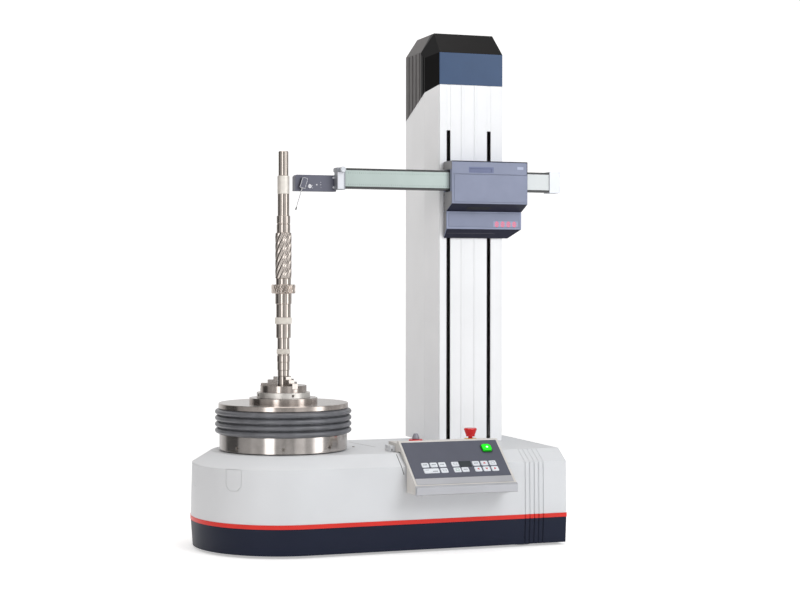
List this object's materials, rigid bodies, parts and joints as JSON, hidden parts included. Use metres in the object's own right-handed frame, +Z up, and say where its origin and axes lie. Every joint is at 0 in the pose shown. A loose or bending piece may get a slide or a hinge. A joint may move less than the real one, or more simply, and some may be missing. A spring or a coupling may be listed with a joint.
{
  "type": "cylindricity tester",
  "caption": "Bench machine for roundness and cylindricity: rotary table with centring, tilting and chuck, vertical column with carriage, horizontal arm, stylus probe and key panel.",
  "frame": {"origin": "rotary table axis at the bench plane, centre of the underside of the foot below the spindle", "axes": "+Z up along the table axis, +X from the table towards the column, -Y towards the operator"},
  "size_m": [0.8618, 0.4765, 1.155],
  "materials": {
    "white_enamel": "fine textured powder coat",
    "navy_enamel": "fine textured powder coat",
    "red_trim": "satin enamel",
    "cap_dark": "moulded, fine grain",
    "band_blue": "satin enamel",
    "cast_iron": "machined casting",
    "ground_steel": "turned and ground",
    "chuck_steel": "ground",
    "shaft_steel": "turned, hobbed and ground",
    "screw_steel": "blackened",
    "bellows_rubber": "moulded",
    "motor_dark": "satin",
    "belt_rubber": "moulded",
    "foot_rubber": "turned",
    "saddle_alloy": "milled",
    "carriage_grey_blue": "satin, fine grain",
    "display_dark": "clear window",
    "arm_green_grey": "anodised",
    "arm_silver": "bead blasted, anodised",
    "knob_black": "moulded",
    "head_slate": "anodised",
    "stylus_steel": "polished",
    "panel_grey": "moulded",
    "panel_foil": "printed foil",
    "key_pale": "embossed foil",
    "lip_silver": "extruded, anodised",
    "button_green": "lit lens",
    "stop_red": "moulded",
    "stop_yellow": "moulded"
  },
  "bodies": {
    "base": {"base_housing": "white_enamel", "transport_covers": "white_enamel", "trim_strip": "red_trim", "plinth_skirt": "navy_enamel", "base_bed": "cast_iron", "levelling_feet": "foot_rubber", "spindle_housing": "cast_iron", "motor_stator": "motor_dark", "column_side_cover": "white_enamel", "column_front_cover": "white_enamel", "column_cap": "cap_dark", "cap_front_band": "band_blue", "column_frame": "cast_iron", "guide_rails": "ground_steel", "lift_belt": "belt_rubber", "lift_motor": "motor_dark", "panel_housing": "panel_grey", "panel_face": "panel_foil", "key_pads": "key_pale", "panel_window": "display_dark", "panel_lip": "lip_silver", "panel_bracket": "white_enamel", "e_stop_collar": "stop_yellow", "dial_collar": "stop_red"},
    "spindle": {"table_spindle": "ground_steel", "adjusting_ring": "ground_steel", "table_bellows": "bellows_rubber"},
    "cross_slide": {"cross_slide": "ground_steel"},
    "centring": {"centring_stage": "ground_steel"},
    "tilt_ring": {"tilt_ring": "ground_steel"},
    "table": {"table_plate": "ground_steel", "chuck_flange": "ground_steel", "chuck_body": "ground_steel"},
    "scroll": {"scroll_ring": "chuck_steel"},
    "jaw_1": {"chuck_jaw_1": "chuck_steel"},
    "jaw_2": {"chuck_jaw_2": "chuck_steel"},
    "jaw_3": {"chuck_jaw_3": "chuck_steel"},
    "workpiece": {"test_shaft": "shaft_steel"},
    "centring_screw_x": {"centring_screw_x": "screw_steel"},
    "centring_screw_y": {"centring_screw_y": "screw_steel"},
    "levelling_screw_x": {"levelling_screw_x": "screw_steel"},
    "levelling_screw_y": {"levelling_screw_y": "screw_steel"},
    "carriage": {"carriage_saddle": "saddle_alloy", "carriage_cover": "carriage_grey_blue", "carriage_lid": "carriage_grey_blue", "sensor_cover": "carriage_grey_blue", "position_display": "display_dark"},
    "arm": {"arm_beam": "arm_green_grey", "arm_end_block": "arm_silver", "arm_end_cap": "arm_silver", "probe_head": "head_slate"},
    "clamp_knob": {"clamp_knob": "knob_black"},
    "stylus_holder": {"stylus_holder": "head_slate"},
    "stylus": {"stylus": "stylus_steel"},
    "idler_pulley": {"idler_pulley": "ground_steel"},
    "drive_pulley": {"drive_pulley": "ground_steel"},
    "counterweight": {"counterweight": "cast_iron"},
    "e_stop_button": {"e_stop_button": "stop_red"},
    "control_dial": {"control_dial": "knob_black"},
    "start_button": {"start_button": "button_green"}
  },
  "joints": [
    {"name": "table_spin", "type": "hinge", "parent": "base", "child": "spindle", "pos_m": [0, 0, 0.2], "axis": [0, 0, 1], "continuous": true},
    {"name": "centring_x", "type": "slide", "parent": "spindle", "child": "cross_slide", "axis": [-0.5, 0.866, 0], "range_m": [-0.005, 0.005], "deforming": ["table_bellows"]},
    {"name": "centring_y", "type": "slide", "parent": "cross_slide", "child": "centring", "axis": [-0.866, -0.5, 0], "range_m": [-0.005, 0.005], "deforming": ["table_bellows"]},
    {"name": "tilt_x", "type": "hinge", "parent": "centring", "child": "tilt_ring", "pos_m": [0, 0, 0.275], "axis": [0.5, -0.866, 0], "range_deg": [-1, 1], "deforming": ["table_bellows"]},
    {"name": "tilt_y", "type": "hinge", "parent": "tilt_ring", "child": "table", "pos_m": [0, 0, 0.275], "axis": [-0.866, -0.5, 0], "range_deg": [-1, 1], "deforming": ["table_bellows"]},
    {"name": "centring_screw_x_turn", "type": "hinge", "parent": "spindle", "child": "centring_screw_x", "pos_m": [0, 0, 0.2232], "axis": [0.5, -0.866, 0], "range_deg": [-1801, 1801]},
    {"name": "centring_screw_y_turn", "type": "hinge", "parent": "spindle", "child": "centring_screw_y", "pos_m": [0, 0, 0.2232], "axis": [-0.866, -0.5, 0], "range_deg": [-1801, 1801]},
    {"name": "levelling_screw_x_turn", "type": "hinge", "parent": "spindle", "child": "levelling_screw_x", "pos_m": [0, 0, 0.2232], "axis": [-0.2588, -0.9659, 0], "range_deg": [-601, 601]},
    {"name": "levelling_screw_y_turn", "type": "hinge", "parent": "spindle", "child": "levelling_screw_y", "pos_m": [0, 0, 0.2232], "axis": [0.9659, -0.2588, 0], "range_deg": [-601, 601]},
    {"name": "scroll_turn", "type": "hinge", "parent": "table", "child": "scroll", "pos_m": [0, 0, 0.331], "axis": [0, 0, 1], "range_deg": [-1080, 0]},
    {"name": "jaw_1_slide", "type": "slide", "parent": "table", "child": "jaw_1", "axis": [0.9703, -0.2419, 0], "range_m": [-0.0121, 0]},
    {"name": "jaw_2_slide", "type": "slide", "parent": "table", "child": "jaw_2", "axis": [-0.2756, 0.9613, 0], "range_m": [-0.0121, 0]},
    {"name": "jaw_3_slide", "type": "slide", "parent": "table", "child": "jaw_3", "axis": [-0.6947, -0.7193, 0], "range_m": [-0.0121, 0]},
    {"name": "workpiece_lift", "type": "slide", "parent": "table", "child": "workpiece", "axis": [0, 0, -1], "range_m": [-0.06, 0]},
    {"name": "lift", "type": "slide", "parent": "base", "child": "carriage", "axis": [0, 0, 1], "range_m": [-0.36, 0.075]},
    {"name": "counterweight_slide", "type": "slide", "parent": "base", "child": "counterweight", "axis": [0, 0, 1], "range_m": [-0.0751, 0.3601]},
    {"name": "idler_spin", "type": "hinge", "parent": "base", "child": "idler_pulley", "pos_m": [0.4485, 0.101, 1.03], "axis": [1, 0, 0], "range_deg": [-172, 823]},
    {"name": "drive_spin", "type": "hinge", "parent": "base", "child": "drive_pulley", "pos_m": [0.4485, 0.101, 0.13], "axis": [1, 0, 0], "range_deg": [-172, 823]},
    {"name": "arm_slide", "type": "slide", "parent": "carriage", "child": "arm", "axis": [-1, 0, 0], "range_m": [-0.21, 0.012]},
    {"name": "clamp_turn", "type": "hinge", "parent": "arm", "child": "clamp_knob", "pos_m": [0.13, -0.02, 0.828], "axis": [0, -1, 0], "range_deg": [-180, 0]},
    {"name": "holder_swivel", "type": "hinge", "parent": "arm", "child": "stylus_holder", "pos_m": [0.0462, 0.005, 0.798], "axis": [0, -1, 0], "range_deg": [-8, 60]},
    {"name": "stylus_deflection", "type": "hinge", "parent": "stylus_holder", "child": "stylus", "pos_m": [0.04328, 0, 0.78844], "axis": [0, 1, 0], "range_deg": [-2, 2], "stiffness_Nm_per_rad": 0.05},
    {"name": "e_stop_press", "type": "slide", "parent": "base", "child": "e_stop_button", "axis": [0, 0, -1], "range_m": [0, 0.004]},
    {"name": "dial_turn", "type": "hinge", "parent": "base", "child": "control_dial", "pos_m": [0.274, -0.1, 0.24], "axis": [0, 0, 1], "range_deg": [-135, 135]},
    {"name": "start_press", "type": "slide", "parent": "base", "child": "start_button", "axis": [0, 0.6, -0.8], "range_m": [0, 0.002], "stiffness_N_per_m": 400}
  ],
  "couplings": [
    {"joint": "centring_screw_x_turn", "follows": "centring_x", "rad_per_m": 6283.2},
    {"joint": "centring_screw_y_turn", "follows": "centring_y", "rad_per_m": 6283.2},
    {"joint": "levelling_screw_x_turn", "follows": "tilt_x", "ratio": 600},
    {"joint": "levelling_screw_y_turn", "follows": "tilt_y", "ratio": 600},
    {"joint": "jaw_1_slide", "follows": "scroll_turn", "m_per_rad": 0.00063662},
    {"joint": "jaw_2_slide", "follows": "scroll_turn", "m_per_rad": 0.00063662},
    {"joint": "jaw_3_slide", "follows": "scroll_turn", "m_per_rad": 0.00063662},
    {"joint": "counterweight_slide", "follows": "lift", "ratio": -1},
    {"joint": "idler_spin", "follows": "lift", "rad_per_m": -39.841},
    {"joint": "drive_spin", "follows": "lift", "rad_per_m": -39.841}
  ]
}
